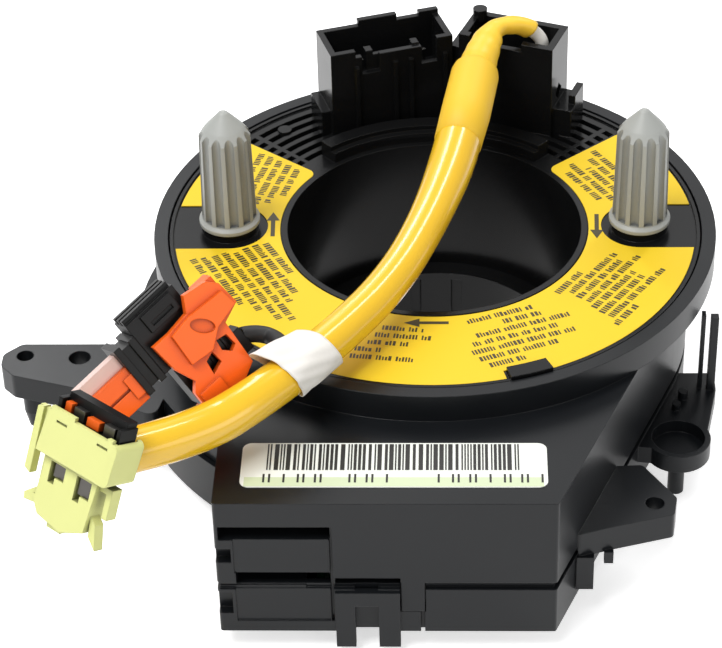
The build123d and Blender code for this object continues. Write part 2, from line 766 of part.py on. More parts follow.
def pin_carrier():
    """The black insert that holds the switch socket's pins."""
    w = socket_width - 2 * socket_wall
    d = socket_depth - 2 * socket_wall
    half = pin_size / 2
    insert = block((-w / 2, w / 2), (-d / 2 + 1.0, d / 2), (socket_floor, socket_floor + 2.4))
    for i in range(pin_count):
        x = (i - (pin_count - 1) / 2) * pin_pitch
        insert -= block((x - half, x + half), (-half, half), (socket_floor + 0.4, socket_floor + 3))
    return one_solid(tower_frame(socket_centre, socket_turn_deg) * insert)


# ---------------------------------------------------------------- leads

def bend_radii(points):
    """The largest tangent arc that each corner of a route has room for."""
    places = [Vector(*p) for p in points]
    radii = []
    for before, here, after in zip(places, places[1:], places[2:]):
        shorter = min((here - before).length, (after - here).length)
        turn = math.radians((here - before).get_angle(after - here))
        radii.append(0.45 * shorter / math.tan(turn / 2))
    return radii


def lead(points, radius):
    """A round lead along a route of straight runs and tangent arcs."""
    radii = bend_radii(points)
    path = FilletPolyline(*points, radius=radii)
    start = Plane(origin=path @ 0, z_dir=path % 0)
    body = sweep(start * Circle(radius), path=path)
    shown = ", ".join(f"{r:.1f}" for r in radii)
    ratio = body.volume / (math.pi * radius**2 * path.length)
    print(f"lead radius {radius}: length {path.length:.1f}, bend radii {shown}, volume ratio {ratio:.4f}")
    return one_solid(body)


def tape_wrap():
    """The tape round the tube, on one straight run."""
    start, end = Vector(*TUBE_ROUTE[4]), Vector(*TUBE_ROUTE[5])
    along = (end - start).normalized()
    low = (start + end) * 0.5 - along * (tape_length / 2)
    face = Circle(tube_radius + tape_thickness) - Circle(tube_radius)
    return Plane(origin=low, z_dir=along) * extrude(face, amount=tape_length)


def plug_frame(centre, x_dir, face_dir):
    """A plug's own frame, z out of the face that is seen."""
    return Plane(origin=centre, x_dir=x_dir, z_dir=face_dir)


PLUG_A = plug_frame(plug_a_centre, plug_a_width_dir, plug_a_face_dir)
PLUG_B = plug_frame(plug_b_centre, plug_b_length_dir, plug_b_face_dir)
BRANCH_ROUTE = [tuple(PLUG_B.from_local_coords(Vector(*plug_b_cable_end)))] + BRANCH_POINTS


def plug_a_body():
    """The black body with the cap in which the tube ends."""
    t = plug_a_thickness
    left, right = (lock_a_span[0] + lock_wall + lock_gap, lock_a_span[1] - lock_wall - lock_gap)
    body = block((left, right), (-4.6, 5.0), (-t + lock_gap, -lock_gap))
    body += block((left + 0.6, right - 0.4), (4.8, 5.9), (-t + lock_gap, -2.2))
    body -= block((left + 0.9, right - 0.8), (2.2, 5.2), (-2.2, 1))
    end = Vector(*TUBE_ROUTE[-1])
    along = (end - Vector(*TUBE_ROUTE[-2])).normalized()
    boot = Plane(origin=end, z_dir=along) * Cylinder(boot_radius, 3.2, align=(Align.CENTER, Align.CENTER, Align.MIN))
    boot -= PLUG_A * block((-12, 12), (-14, -4.7), (-t - lock_wall, 0))
    return one_solid(PLUG_A * body + boot)


def plug_a_terminals():
    """The grey contacts that show in the cap and in the nose's windows."""
    parts = [block(x, (2.4, 4.4), (-2.2, -1.0)) for x in ((-5.8, -3.4), (1.2, 3.6))]
    parts += [block(x, (low, -6.4), (-2.6, -1.2)) for x, low in (((-7.2, -4.8), -8.7), ((-1.3, 1.2), -9.3))]
    return Compound(children=[PLUG_A * p for p in parts])


def plug_a_seals():
    """The orange pieces that show between the contacts in the cap."""
    parts = [block((x, x + wide), (2.5, high), (-2.2, -0.9)) for x, wide, high in ((-7.8, 1.4, 4.6), (-2.6, 2.8, 4.0))]
    return Compound(children=[PLUG_A * p for p in parts])


def plug_a_nose():
    """The yellow-green nose that enters the airbag, with its windows and side latches."""
    t = plug_a_thickness
    outline = [(-10.4, -5.4), (-10.4, -13.6), (-8.6, -16.2), (-3.0, -17.2), (2.0, -15.0), (2.9, -5.4)]
    nose = slab(outline, -t + 0.6, -0.8)
    nose += block((-9.2, 1.6), (-5.6, -4.7), (-t + 0.8, -1.0))
    nose -= slab([(-10.6, -5.0), (-10.6, -13.2), (-9.9, -13.2), (-9.2, -5.0)], -1.6, 0)
    for x, wide, low in ((-7.9, 3.4, -10.0), (-1.8, 3.4, -10.6)):
        nose -= block((x, x + wide), (low, -6.2), (-2.6, 0))
        nose += block((x + 1.4, x + wide), (low, low + 1.2), (-2.7, -0.8))
    nose += slab([(-10.2, -12.0), (-13.2, -14.4), (-13.0, -15.6), (-10.2, -15.2)], -t + 1.2, -1.8)
    nose += block((-6.6, -3.4), (-17.8, -16.2), (-t + 1.2, -1.6))
    nose += slab([(2.6, -15.4), (4.6, -17.2), (3.6, -13.0), (2.2, -11.8)], -t + 1.2, -1.6)
    nose += block((4.4, 5.6), (-11.2, -5.8), (-t + 1.0, -1.6))
    nose += block((2.6, 4.6), (-6.9, -5.8), (-t + 1.0, -1.6))
    return one_solid(PLUG_A * nose)


def plug_a_lock():
    """The yellow-green sleeve that slides on the body and locks the plug."""
    t = plug_a_thickness
    left, right = lock_a_span
    low, high = -5.0, -5.0 + lock_a_height
    lock = slab([(left - 0.3, low), (left + 0.6, high), (right, high), (right - 0.6, low)], -t - lock_wall, lock_wall)
    lock = fillet(lock.edges().filter_by(Axis.Z).sort_by(Axis.X)[-2:], 1.1)
    lock += block((left + 1.2, -3.6), (high - 0.2, high + 0.7), (0.0, lock_wall))
    lock += block((4.0, 5.2), (high - 0.2, high + 0.5), (0.0, lock_wall))
    lock -= block((left + lock_wall + 0.3, right - lock_wall - 0.1), (low - 1, high + 2), (-t, 0))
    lock -= block((-5.2, 5.3), (low - 1, high + 1), (-t - 2, -t + 0.1))
    for x in (-7.4, 2.0):
        lock -= block((x, x + 2.4), (high - 1.6, high - 1.2), (lock_wall - 0.4, lock_wall + 1))
    lock += block((-14.2, left + 0.3), (-3.8, 1.2), (-3.2, -2.2))
    lock += slab([(-14.2, -10.2), (-12.8, -10.8), (-12.8, 1.4), (-14.2, 1.0)], -3.2, -1.6)
    return one_solid(PLUG_A * lock)


def plug_b_body():
    """The black body of plug B, with its flange, side ribs and cable end."""
    t = plug_b_thickness
    body = block((-3.8, 6.9), (-3.4, 7.4), (-t, -0.6))
    body += block((-2.2, 8.6), (-12.0, -3.2), (-t + 0.8, -1.0))
    body += block((8.4, plug_b_cable_end[0]), (-11.2, -6.6), (-t + 1.0, -1.8))
    for x, out in ((-8.2, 0.4), (-5.2, 0.0)):
        body += block((x, x + 1.3), (-3.8 - out, 5.4 + out), (-t - 0.2, -0.1))
    body += block((-8.0, -3.6), (-3.4, 4.8), (-t + 0.4, -0.8))
    for z in (-t + 0.5, -t + 2.3, -t + 4.1):
        body += block((-3.6, 6.6), (7.3, 8.3), (z, z + 1.0))
    body += block((-1.0, 5.6), (3.6, 7.0), (-0.7, 0.1))
    body -= block((0.0, 4.6), (4.4, 5.2), (-0.4, 1))
    return one_solid(PLUG_B * body)


def plug_b_nose():
    """The orange nose of plug B with a groove along its face."""
    t = plug_b_thickness
    nose = block((-16.6, -8.2), (-4.7, 2.1), (-t + 1.6, -0.9))
    nose -= block((-17, -9.0), (-1.5, -1.0), (-1.3, 0))
    nose += block((-10.0, -8.2), (-3.4, 0.8), (-1.0, -0.5))
    return one_solid(PLUG_B * nose)


def plug_b_strip():
    """The pale shorting-bar cover beside the nose."""
    t = plug_b_thickness
    return PLUG_B * block((-17.2, -8.2), (2.1, 4.6), (-t + 2.2, -2.2))


LOCK_B_OUTLINE = [
    (6.7, 5.3),
    (11.2, 4.5),
    (12.8, 2.7),
    (13.2, -1.8),
    (9.4, -3.2),
    (8.8, -11.6),
    (2.9, -14.5),
    (-0.3, -14.1),
    (-2.5, -12.4),
    (-2.4, -8.8),
    (-1.0, -7.2),
    (-2.5, -3.3),
    (-2.9, 2.2),
    (0.8, 2.1),
    (5.1, 2.6),
]


def plug_b_lock():
    """The orange clip that slides over plug B and locks it, in two levels."""
    top = lock_gap + lock_b_thickness
    lock = slab(LOCK_B_OUTLINE, lock_gap, top)
    pad = [(0.6, 1.6), (5.2, 2.2), (12.2, 1.6), (12.6, -1.6), (7.8, -2.6), (4.6, -5.0), (0.2, -4.4)]
    lock += slab(pad, top - 0.1, top + 0.9)
    lock += block((-2.0, 2.6), (-12.6, -9.4), (top - 0.1, top + 0.6))
    lock -= Pos(5.8, -0.6, top + 0.3) * Rot(0, 0, -50) * extrude(Ellipse(2.3, 1.2), amount=2)
    lock += block((-2.2, 3.0), (-14.2, -12.9), (-plug_b_thickness + 1.0, 0.5))
    lock += block((9.2, 12.8), (-1.6, 4.2), (-3.0, 0.5))
    lock -= slab([(6.2, -4.4), (8.2, -4.8), (8.4, -7.2), (7.2, -7.8), (5.9, -6.4)], -0.5, 4)
    lock -= slab([(2.6, -6.0), (4.4, -5.4), (4.6, -7.8), (2.2, -8.6)], -0.5, 4)
    return one_solid(PLUG_B * lock)


NODES = {
    "upper_case": upper_case,
    "lower_case": lower_case,
    "circuit_board": circuit_board,
    "sensor_chips": sensor_chips,
    "header_pins": header_pins,
    "case_screws": case_screws,
    "glide_ring": glide_ring,
    "plate_label": plate_label,
    "rotor": rotor,
    "lower_rotor": lower_rotor,
    "flat_cable": flat_cable,
    "face_label": face_label,
    "left_post": lambda: post(-1),
    "right_post": lambda: post(1),
    "pin_carrier": pin_carrier,
    "socket_pins": socket_pins,
    "sensor_gear_a": lambda: sensor_gear(gear_a_teeth, gear_a_deg),
    "sensor_gear_b": lambda: sensor_gear(gear_b_teeth, gear_b_deg),
    "magnet_a": lambda: magnet(gear_a_teeth, gear_a_deg),
    "magnet_b": lambda: magnet(gear_b_teeth, gear_b_deg),
    "lead_wires": lambda: lead(WIRE_ROUTE, wire_radius),
    "lead_sleeve": lambda: lead(SLEEVE_ROUTE, sleeve_radius),
    "lead_tube": lambda: lead(TUBE_ROUTE, tube_radius),
    "tape_wrap": tape_wrap,
    "branch_lead": lambda: lead(BRANCH_ROUTE, branch_radius),
    "plug_a_body": plug_a_body,
    "plug_a_terminals": plug_a_terminals,
    "plug_a_seals": plug_a_seals,
    "plug_a_nose": plug_a_nose,
    "plug_a_lock": plug_a_lock,
    "plug_b_body": plug_b_body,
    "plug_b_nose": plug_b_nose,
    "plug_b_strip": plug_b_strip,
    "plug_b_lock": plug_b_lock,
}

os.makedirs("parts", exist_ok=True)
for name, make in NODES.items():
    export_step(make(), f"parts/{name}.step")
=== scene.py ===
"""Looks of a steering clock spring: finishes, printed labels, airbag leads and their squib plugs.

Everything stands in the model's own frame: the origin is on the rotor's axis at the height of the
ears' seat, +Z points to the steering wheel and the sensor box looks to -Y. Sizes of the part are in
millimetres and are multiplied by MM for the scene; the floor and the lamps are in metres.
"""
import math
import random

import bmesh
import bpy
from mathutils import Matrix, Vector


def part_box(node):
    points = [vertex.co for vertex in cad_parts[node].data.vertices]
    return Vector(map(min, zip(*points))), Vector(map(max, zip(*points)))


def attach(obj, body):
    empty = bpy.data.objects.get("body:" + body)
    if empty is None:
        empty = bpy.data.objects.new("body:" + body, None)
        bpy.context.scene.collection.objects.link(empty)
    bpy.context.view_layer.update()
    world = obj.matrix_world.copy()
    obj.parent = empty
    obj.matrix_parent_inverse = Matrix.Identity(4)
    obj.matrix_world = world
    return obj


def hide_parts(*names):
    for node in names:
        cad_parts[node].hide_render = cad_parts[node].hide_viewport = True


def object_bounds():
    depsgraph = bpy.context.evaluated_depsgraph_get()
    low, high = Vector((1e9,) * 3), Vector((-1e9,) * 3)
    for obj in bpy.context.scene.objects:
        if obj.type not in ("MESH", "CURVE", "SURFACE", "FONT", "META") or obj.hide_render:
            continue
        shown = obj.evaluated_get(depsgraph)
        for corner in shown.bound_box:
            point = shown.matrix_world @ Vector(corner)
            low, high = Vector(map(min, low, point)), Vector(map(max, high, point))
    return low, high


MM = 0.001

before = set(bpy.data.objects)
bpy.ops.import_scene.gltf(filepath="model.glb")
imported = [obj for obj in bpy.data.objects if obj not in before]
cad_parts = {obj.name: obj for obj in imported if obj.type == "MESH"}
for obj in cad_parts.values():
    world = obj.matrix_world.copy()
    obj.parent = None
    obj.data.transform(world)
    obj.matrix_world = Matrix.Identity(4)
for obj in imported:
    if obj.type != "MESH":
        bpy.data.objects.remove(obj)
cad_low, cad_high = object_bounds()

# ---------------------------------------------------------------- sizes, in millimetres

ROTOR_PLATE_TOP = 24.6
LABEL_TOP = ROTOR_PLATE_TOP + 0.2
INK_LIFT = 0.03

# The airbag leads: radii, and the points that their smooth lines follow.
WIRE_RADIUS = 1.3
SLEEVE_RADIUS = 3.1
TUBE_RADIUS = 3.8
BRANCH_RADIUS = 1.5

WIRE_ROUTE = [(20.8, 36.1, 30.6), (21.4, 35.8, 41.5), (20.0, 36.2, 45.2), (16.8, 36.2, 46.6)]
SLEEVE_ROUTE = [
    (18.4, 36.3, 45.7),
    (16.4, 36.0, 47.2),
    (11.4, 35.0, 46.9),
    (9.6, 31.4, 44.9),
    (7.9, 25.5, 42.7),
]
TUBE_ROUTE = [
    (7.9, 25.5, 42.7),
    (4.5, 5.1, 38.2),
    (-0.6, -14.2, 35.7),
    (-7.3, -31.2, 33.6),
    (-17.4, -45.6, 31.8),
    (-28.5, -59.0, 30.9),
    (-39.3, -66.6, 28.3),
    (-51.8, -74.5, 30.7),
]
TUBE_SWELL = (1.1, 1.2, 0.96, 0.93, 0.96, 1.0, 1.04, 1.0)
BRANCH_ROUTE = [
    (-32.76, -45.63, 33.33),
    (-30.75, -44.6, 33.2),
    (-26.9, -44.8, 32.3),
    (-25.2, -50.6, 34.6),
]

# The collar over the tube's start: its profile as distances along the tube and radii.
COLLAR_RADIUS = 4.6
COLLAR_LENGTH = 19.5
COLLAR_PROFILE = [
    (-0.9, SLEEVE_RADIUS + 0.3),
    (-0.6, 3.95),
    (-0.1, 4.35),
    (1.0, COLLAR_RADIUS),
    (COLLAR_LENGTH - 8.0, COLLAR_RADIUS + 0.1),
    (COLLAR_LENGTH, COLLAR_RADIUS - 0.12),
    (COLLAR_LENGTH + 0.1, COLLAR_RADIUS - 0.6),
]

# The tape round the tube: distances along the tube, and the way its loose fold stands up.
TAPE_START = 79.0
TAPE_END = 89.0
TAPE_RADIUS = 4.1
TAPE_THICKNESS = 0.18
TAPE_LOBE = Vector((-0.535, 0.395, 0.747))

# Plug B: a corner of its face, the way it is long and the way its face looks.
PLUG_B_PLACE = Vector((-44.0, -54.4, 38.0))
PLUG_B_LENGTH = Vector((0.693, 0.613, 0.379)).normalized()
PLUG_B_FACE = Vector((0.438, -0.776, 0.453)).normalized()

# Printed marks: upright bars in words, in rows across the label.
MARK_HEIGHT = 1.3
MARK_GAP = 0.22
WORD_GAP = 0.8
WORD_MARKS = (3, 9)
MARK_WIDTHS = (0.3, 0.36, 0.52)
MARK_ENDS = ((-0.5, 0.5), (-0.5, 0.5), (-0.5, 0.5), (-0.5, 0.28))


# ---------------------------------------------------------------- shader effects

CLOUD_SCALE = 90.0
# How far the painted crease shade looks for nearby surfaces when it darkens the colour.
PAINTED_SHADE_REACH = 2.5 * MM
BUMP_DEPTH = 0.1 * MM


def new_group(name, inputs, outputs):
    """An empty node group with its sockets; returns the tree and its two end nodes."""
    tree = bpy.data.node_groups.new(name, "ShaderNodeTree")
    for socket, kind, value in inputs:
        item = tree.interface.new_socket(socket, in_out="INPUT", socket_type=kind)
        item.default_value = value
    for socket, kind in outputs:
        tree.interface.new_socket(socket, in_out="OUTPUT", socket_type=kind)
    return tree, tree.nodes.new("NodeGroupInput"), tree.nodes.new("NodeGroupOutput")


def object_noise(tree, scale, detail=3.0):
    """A noise texture over the object's own coordinates."""
    place = tree.nodes.new("ShaderNodeTexCoord")
    noise = tree.nodes.new("ShaderNodeTexNoise")
    noise.inputs["Detail"].default_value = detail
    tree.links.new(place.outputs["Object"], noise.inputs["Vector"])
    if isinstance(scale, bpy.types.NodeSocket):
        tree.links.new(scale, noise.inputs["Scale"])
    else:
        noise.inputs["Scale"].default_value = scale
    return noise


def math_node(tree, operation, first, second):
    """A Math node on two sockets or numbers."""
    node = tree.nodes.new("ShaderNodeMath")
    node.operation = operation
    for value, socket in zip((first, second), node.inputs):
        if isinstance(value, bpy.types.NodeSocket):
            tree.links.new(value, socket)
        else:
            socket.default_value = value
    return node.outputs[0]


def finish_and_painted_shade_group():
    """Moulded plastic: fine grain for the bump, cloudy gloss, a shift of tone and painted shade that
    darkens the colour in creases.
    """
    tree, start, end = new_group(
        "finish_and_painted_shade",
        [
            ("Colour", "NodeSocketColor", (0.5, 0.5, 0.5, 1)),
            ("Tone shift", "NodeSocketFloat", 0.1),
            ("Roughness", "NodeSocketFloat", 0.4),
            ("Gloss clouds", "NodeSocketFloat", 0.1),
            ("Grain scale", "NodeSocketFloat", 2500.0),
            ("Painted crease shade", "NodeSocketFloat", 0.0),
        ],
        [("Colour", "NodeSocketColor"), ("Roughness", "NodeSocketFloat"), ("Height", "NodeSocketFloat")],
    )
    link = tree.links.new
    clouds = object_noise(tree, CLOUD_SCALE, 4.0)
    grain = object_noise(tree, start.outputs["Grain scale"], 2.0)
    centred = math_node(tree, "SUBTRACT", clouds.outputs["Fac"], 0.5)
    shift = math_node(tree, "MULTIPLY_ADD", centred, start.outputs["Tone shift"])
    shift.node.inputs[2].default_value = 1.0
    tone = tree.nodes.new("ShaderNodeHueSaturation")
    link(start.outputs["Colour"], tone.inputs["Color"])
    link(shift, tone.inputs["Value"])
    # Painted shade: ambient occlusion darkens the colour in creases, corners and recesses.
    crease = tree.nodes.new("ShaderNodeAmbientOcclusion")
    crease.samples = 6
    crease.inputs["Distance"].default_value = PAINTED_SHADE_REACH
    shade = tree.nodes.new("ShaderNodeMix")
    shade.data_type = "RGBA"
    shade.blend_type = "MULTIPLY"
    link(start.outputs["Painted crease shade"], shade.inputs["Factor"])
    link(tone.outputs["Color"], shade.inputs["A"])
    link(crease.outputs["Color"], shade.inputs["B"])
    link(shade.outputs["Result"], end.inputs["Colour"])
    gloss = math_node(tree, "MULTIPLY_ADD", centred, start.outputs["Gloss clouds"])
    link(start.outputs["Roughness"], gloss.node.inputs[2])
    link(gloss, end.inputs["Roughness"])
    link(grain.outputs["Fac"], end.inputs["Height"])
    return tree


FINISH_AND_PAINTED_SHADE = finish_and_painted_shade_group()


def plastic(
    name,
    colour,
    roughness=0.4,
    tone=0.15,
    clouds=0.12,
    grain=2500.0,
    bump=0.06,
    edge=0.25,
    crease=0.0,
    **sockets,
):
    """A moulded plastic material.

    Edge is the radius of its rounded edges in millimetres; crease is how strongly painted shade darkens the
    colour in creases and corners; sockets are set on the shader as they are.
    """
    material = bpy.data.materials.new(name)
    material.use_nodes = True
    tree = material.node_tree
    shader = tree.nodes["Principled BSDF"]
    finish = tree.nodes.new("ShaderNodeGroup")
    finish.node_tree = FINISH_AND_PAINTED_SHADE
    finish.inputs["Colour"].default_value = (*colour, 1)
    finish.inputs["Tone shift"].default_value = tone
    finish.inputs["Roughness"].default_value = roughness
    finish.inputs["Gloss clouds"].default_value = clouds
    finish.inputs["Grain scale"].default_value = grain
    # Painted shade: crease sets how much the colour is darkened in creases.
    finish.inputs["Painted crease shade"].default_value = crease
    rounded = tree.nodes.new("ShaderNodeBevel")
    rounded.samples = 4
    rounded.inputs["Radius"].default_value = edge * MM
    relief = tree.nodes.new("ShaderNodeBump")
    relief.inputs["Strength"].default_value = bump
    relief.inputs["Distance"].default_value = BUMP_DEPTH
    tree.links.new(rounded.outputs["Normal"], relief.inputs["Normal"])
    tree.links.new(finish.outputs["Height"], relief.inputs["Height"])
    tree.links.new(finish.outputs["Colour"], shader.inputs["Base Color"])
    tree.links.new(finish.outputs["Roughness"], shader.inputs["Roughness"])
    tree.links.new(relief.outputs["Normal"], shader.inputs["Normal"])
    for socket, value in sockets.items():
        shader.inputs[socket.replace("_", " ")].default_value = value
    return material


CASE_BLACK = plastic(
    "case_black", (0.0075, 0.0085, 0.010), 0.30, clouds=0.07, bump=0.04, Specular_IOR_Level=0.3
)
ROTOR_BLACK = plastic(
    "rotor_black", (0.006, 0.0062, 0.0065), 0.22, clouds=0.08, bump=0.03, Specular_IOR_Level=0.25
)
LABEL_YELLOW = plastic(
    "label_yellow", (0.80, 0.55, 0.02), 0.5, 0.05, bump=0.02, edge=0.05, Specular_IOR_Level=0.25
)
LABEL_WHITE = plastic("label_white", (0.82, 0.84, 0.78), 0.45, 0.05, bump=0.02, edge=0.05)
PLATE_GREEN = plastic("plate_green", (0.60, 0.68, 0.45), 0.45, 0.05, bump=0.02, edge=0.05)
INK = plastic("ink", (0.05, 0.038, 0.01), 0.5, 0.1, bump=0.02, edge=0.0)
INK_BLACK = plastic("ink_black", (0.018, 0.017, 0.015), 0.5, 0.1, bump=0.02, edge=0.0)
# Painted shade: crease=1.0 darkens the posts' colour in the grooves of their flutes and other creases.
POST_GREY = plastic("post_grey", (0.37, 0.38, 0.36), 0.45, 0.08, bump=0.08, crease=1.0)
BOARD_GREEN = plastic("board_green", (0.02, 0.14, 0.05), 0.35)
CHIP_BLACK = plastic("chip_black", (0.015, 0.015, 0.016), 0.3)
GLIDE_WHITE = plastic("glide_white", (0.75, 0.74, 0.70), 0.35)
GEAR_WHITE = plastic("gear_white", (0.72, 0.70, 0.62), 0.38)
CABLE_FILM = plastic("cable_film", (0.55, 0.40, 0.20), 0.25)
WIRE_WHITE = plastic("wire_white", (0.75, 0.73, 0.68), 0.35)
TUBE_AMBER = plastic("tube_amber", (0.83, 0.50, 0.018), 0.22, 0.10, 0.05, 500.0, 0.02, 0.3, Coat_Weight=0.5)
COLLAR_YELLOW = plastic("collar_yellow", (0.84, 0.52, 0.026), 0.55, 0.10, 0.05, 500.0, 0.05, 0.3)
SLEEVE_YELLOW = plastic("sleeve_yellow", (0.88, 0.56, 0.04), 0.42, 0.10, 0.05, 500.0, 0.05, 0.3)
BRANCH_BLACK = plastic("branch_black", (0.02, 0.02, 0.02), 0.5)
TAPE_WHITE = plastic("tape_white", (0.80, 0.77, 0.72), 0.75, 0.12, 0.1, 1200.0, 0.25, 0.15)
PLUG_BLACK = plastic("plug_black", (0.007, 0.007, 0.007), 0.34, Specular_IOR_Level=0.2)
# Painted shade: crease=0.8 darkens the plugs' colour in their creases and recesses.
PLUG_LIME = plastic("plug_lime", (0.73, 0.75, 0.28), 0.36, 0.08, edge=0.3, crease=0.8)
PLUG_ORANGE = plastic(
    "plug_orange", (1.0, 0.145, 0.010), 0.38, 0.08, edge=0.3, crease=0.8, Specular_IOR_Level=0.35
)
STRIP_PALE = plastic("strip_pale", (0.72, 0.50, 0.44), 0.3)


def metal(name, colour, roughness):
    """A plain bright metal with brushed unevenness."""
    material = plastic(name, colour, roughness, 0.1, 0.15, 3000.0, 0.05, 0.1)
    material.node_tree.nodes["Principled BSDF"].inputs["Metallic"].default_value = 1.0
    return material


PIN_TIN = metal("pin_tin", (0.72, 0.71, 0.68), 0.25)
SCREW_STEEL = metal("screw_steel", (0.5, 0.5, 0.52), 0.3)
TERMINAL_GREY = metal("terminal_grey", (0.16, 0.15, 0.14), 0.4)
MAGNET_GREY = metal("magnet_grey", (0.25, 0.25, 0.27), 0.35)

NODE_FINISH = {
    "upper_case": CASE_BLACK,
    "lower_case": CASE_BLACK,
    "circuit_board": BOARD_GREEN,
    "sensor_chips": CHIP_BLACK,
    "header_pins": PIN_TIN,
    "case_screws": SCREW_STEEL,
    "glide_ring": GLIDE_WHITE,
    "plate_label": LABEL_WHITE,
    "rotor": ROTOR_BLACK,
    "lower_rotor": ROTOR_BLACK,
    "flat_cable": CABLE_FILM,
    "face_label": LABEL_YELLOW,
    "left_post": POST_GREY,
    "right_post": POST_GREY,
    "pin_carrier": ROTOR_BLACK,
    "socket_pins": PIN_TIN,
    "sensor_gear_a": GEAR_WHITE,
    "sensor_gear_b": GEAR_WHITE,
    "magnet_a": MAGNET_GREY,
    "magnet_b": MAGNET_GREY,
    "plug_a_body": PLUG_BLACK,
    "plug_a_nose": PLUG_LIME,
    "plug_a_lock": PLUG_LIME,
    "plug_a_terminals": TERMINAL_GREY,
    "plug_a_seals": PLUG_ORANGE,
    "plug_b_body": PLUG_BLACK,
    "plug_b_nose": PLUG_ORANGE,
    "plug_b_strip": STRIP_PALE,
    "plug_b_lock": PLUG_ORANGE,
}

for node, finish in NODE_FINISH.items():
    node_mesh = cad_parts[node].data
    node_mesh.materials.clear()
    node_mesh.materials.append(finish)


# ---------------------------------------------------------------- pieces

def metres(point):
    """A point given in millimetres, in metres."""
    return Vector(point) * MM


def placed(name, data):
    """A new object in the scene for a mesh or a curve."""
    piece = bpy.data.objects.new(name, data)
    bpy.context.scene.collection.objects.link(piece)
    return piece


def seat(piece, body, material):
    """Puts a finished piece on its body, with its finish."""
    piece.data.materials.append(material)
    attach(piece, body)
    return piece


def lead(name, route, radius, material, swell=None):
    """A smooth round lead on the route's points; swell widens it at each of them."""
    curve = bpy.data.curves.new(name, "CURVE")
    curve.dimensions = "3D"
    curve.bevel_depth = radius * MM
    curve.bevel_resolution = 10
    curve.resolution_u = 24
    curve.use_fill_caps = True
    spline = curve.splines.new("NURBS")
    spline.points.add(len(route) - 1)
    for point, place, width in zip(spline.points, route, swell or [1.0] * len(route)):
        point.co = (*metres(place), 1)
        point.radius = width
    spline.order_u = 3
    spline.use_endpoint_u = True
    return seat(placed(name, curve), "rotor", material)


def centre_line(cord):
    """Points along a lead's own smooth line, in millimetres."""
    bare = cord.copy()
    bare.data = cord.data.copy()
    bare.data.bevel_depth = 0
    line = bpy.data.meshes.new_from_object(bare)
    points = [vertex.co / MM for vertex in line.vertices]
    bpy.data.objects.remove(bare)
    return points


def along_line(points, distance):
    """The place and the direction at a distance along a line."""
    for here, after in zip(points, points[1:]):
        step = (after - here).length
        if distance <= step:
            break
        distance -= step
    way = (after - here).normalized()
    return here + way * distance, way


def ring_of(centre, side, rise, wide, thick, count):
    """A ring of points round a centre, with its half width and its half height."""
    turns = [math.tau * i / count for i in range(count)]
    return [metres(centre + side * wide * math.cos(turn) + rise * thick * math.sin(turn)) for turn in turns]


def ring_skin(name, rings, body, material, closed_ends=False):
    """A skin over rings of points that all have the same count."""
    mesh = bmesh.new()
    rows = [[mesh.verts.new(point) for point in ring] for ring in rings]
    for row, beyond in zip(rows, rows[1:]):
        for i, vertex in enumerate(row):
            j = (i + 1) % len(row)
            mesh.faces.new((vertex, row[j], beyond[j], beyond[i])).smooth = True
    if closed_ends:
        mesh.faces.new(list(reversed(rows[0])))
        mesh.faces.new(rows[-1])
    bmesh.ops.recalc_face_normals(mesh, faces=mesh.faces[:])
    data = bpy.data.meshes.new(name)
    mesh.to_mesh(data)
    mesh.free()
    return seat(placed(name, data), body, material)


def ink_piece(name, quads, body, material=INK):
    """Flat printed marks, each a list of corners in millimetres."""
    mesh = bpy.data.meshes.new(name)
    points = [metres(corner) for quad in quads for corner in quad]
    faces = []
    for quad in quads:
        first = sum(len(face) for face in faces)
        faces.append(list(range(first, first + len(quad))))
    mesh.from_pydata(points, [], faces)
    return seat(placed(name, mesh), body, material)


# ---------------------------------------------------------------- leads

wires = lead("lead_wire", WIRE_ROUTE, WIRE_RADIUS, WIRE_WHITE)
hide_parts("lead_wires")
sleeve_guide = lead("lead_inner_sleeve", SLEEVE_ROUTE, SLEEVE_RADIUS, SLEEVE_YELLOW)


def flattened_sleeve():
    """The thin sleeve, round in the tube's end and pressed flat with small pleats over the tower's wall."""
    line = centre_line(sleeve_guide)
    bpy.data.objects.remove(sleeve_guide)
    length = sum((after - here).length for here, after in zip(line, line[1:]))
    rows, columns = 56, 40
    pressed_until, rounding_within = 0.35, 0.5
    round_from = 0.85
    rings = []
    for row in range(rows + 1):
        part = row / rows
        place, way = along_line(line, length * part)
        side = way.cross(Vector((0, 0.6, 0.8))).normalized()
        rise = side.cross(way)
        # Flat is 1 where the sleeve is pressed most and 0 where it is round.
        flat = 1 - max(0.0, (part - pressed_until) / rounding_within) if part < round_from else 0.0
        pleat = 0.07 * math.sin(38 * part) * math.sin(math.pi * part)
        wide = SLEEVE_RADIUS * (1.12 - 0.16 * flat) + pleat
        thick = SLEEVE_RADIUS * (1.12 - 0.55 * flat) + pleat
        rings.append(ring_of(place, side, rise, wide, thick, columns))
    return ring_skin("lead_inner_sleeve", rings, "rotor", SLEEVE_YELLOW, closed_ends=True)


sleeve = flattened_sleeve()
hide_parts("lead_sleeve")
tube = lead("lead_outer_tube", TUBE_ROUTE, TUBE_RADIUS, TUBE_AMBER, TUBE_SWELL)
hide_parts("lead_tube")
branch = lead("branch_cable", BRANCH_ROUTE, BRANCH_RADIUS, BRANCH_BLACK)
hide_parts("branch_lead")
tube_line = centre_line(tube)


def tube_collar():
    """The dull short cover over the tube's start, drawn in round the sleeve at its end."""
    columns = 48
    rings = []
    for distance, radius in COLLAR_PROFILE:
        start, way = along_line(tube_line, max(distance, 0))
        centre = start + way * min(distance, 0)
        side = way.cross(Vector((0, 0, 1))).normalized()
        rise = side.cross(way)
        rings.append(ring_of(centre, side, rise, radius, radius, columns))
    return ring_skin("tube_collar", rings, "rotor", COLLAR_YELLOW)


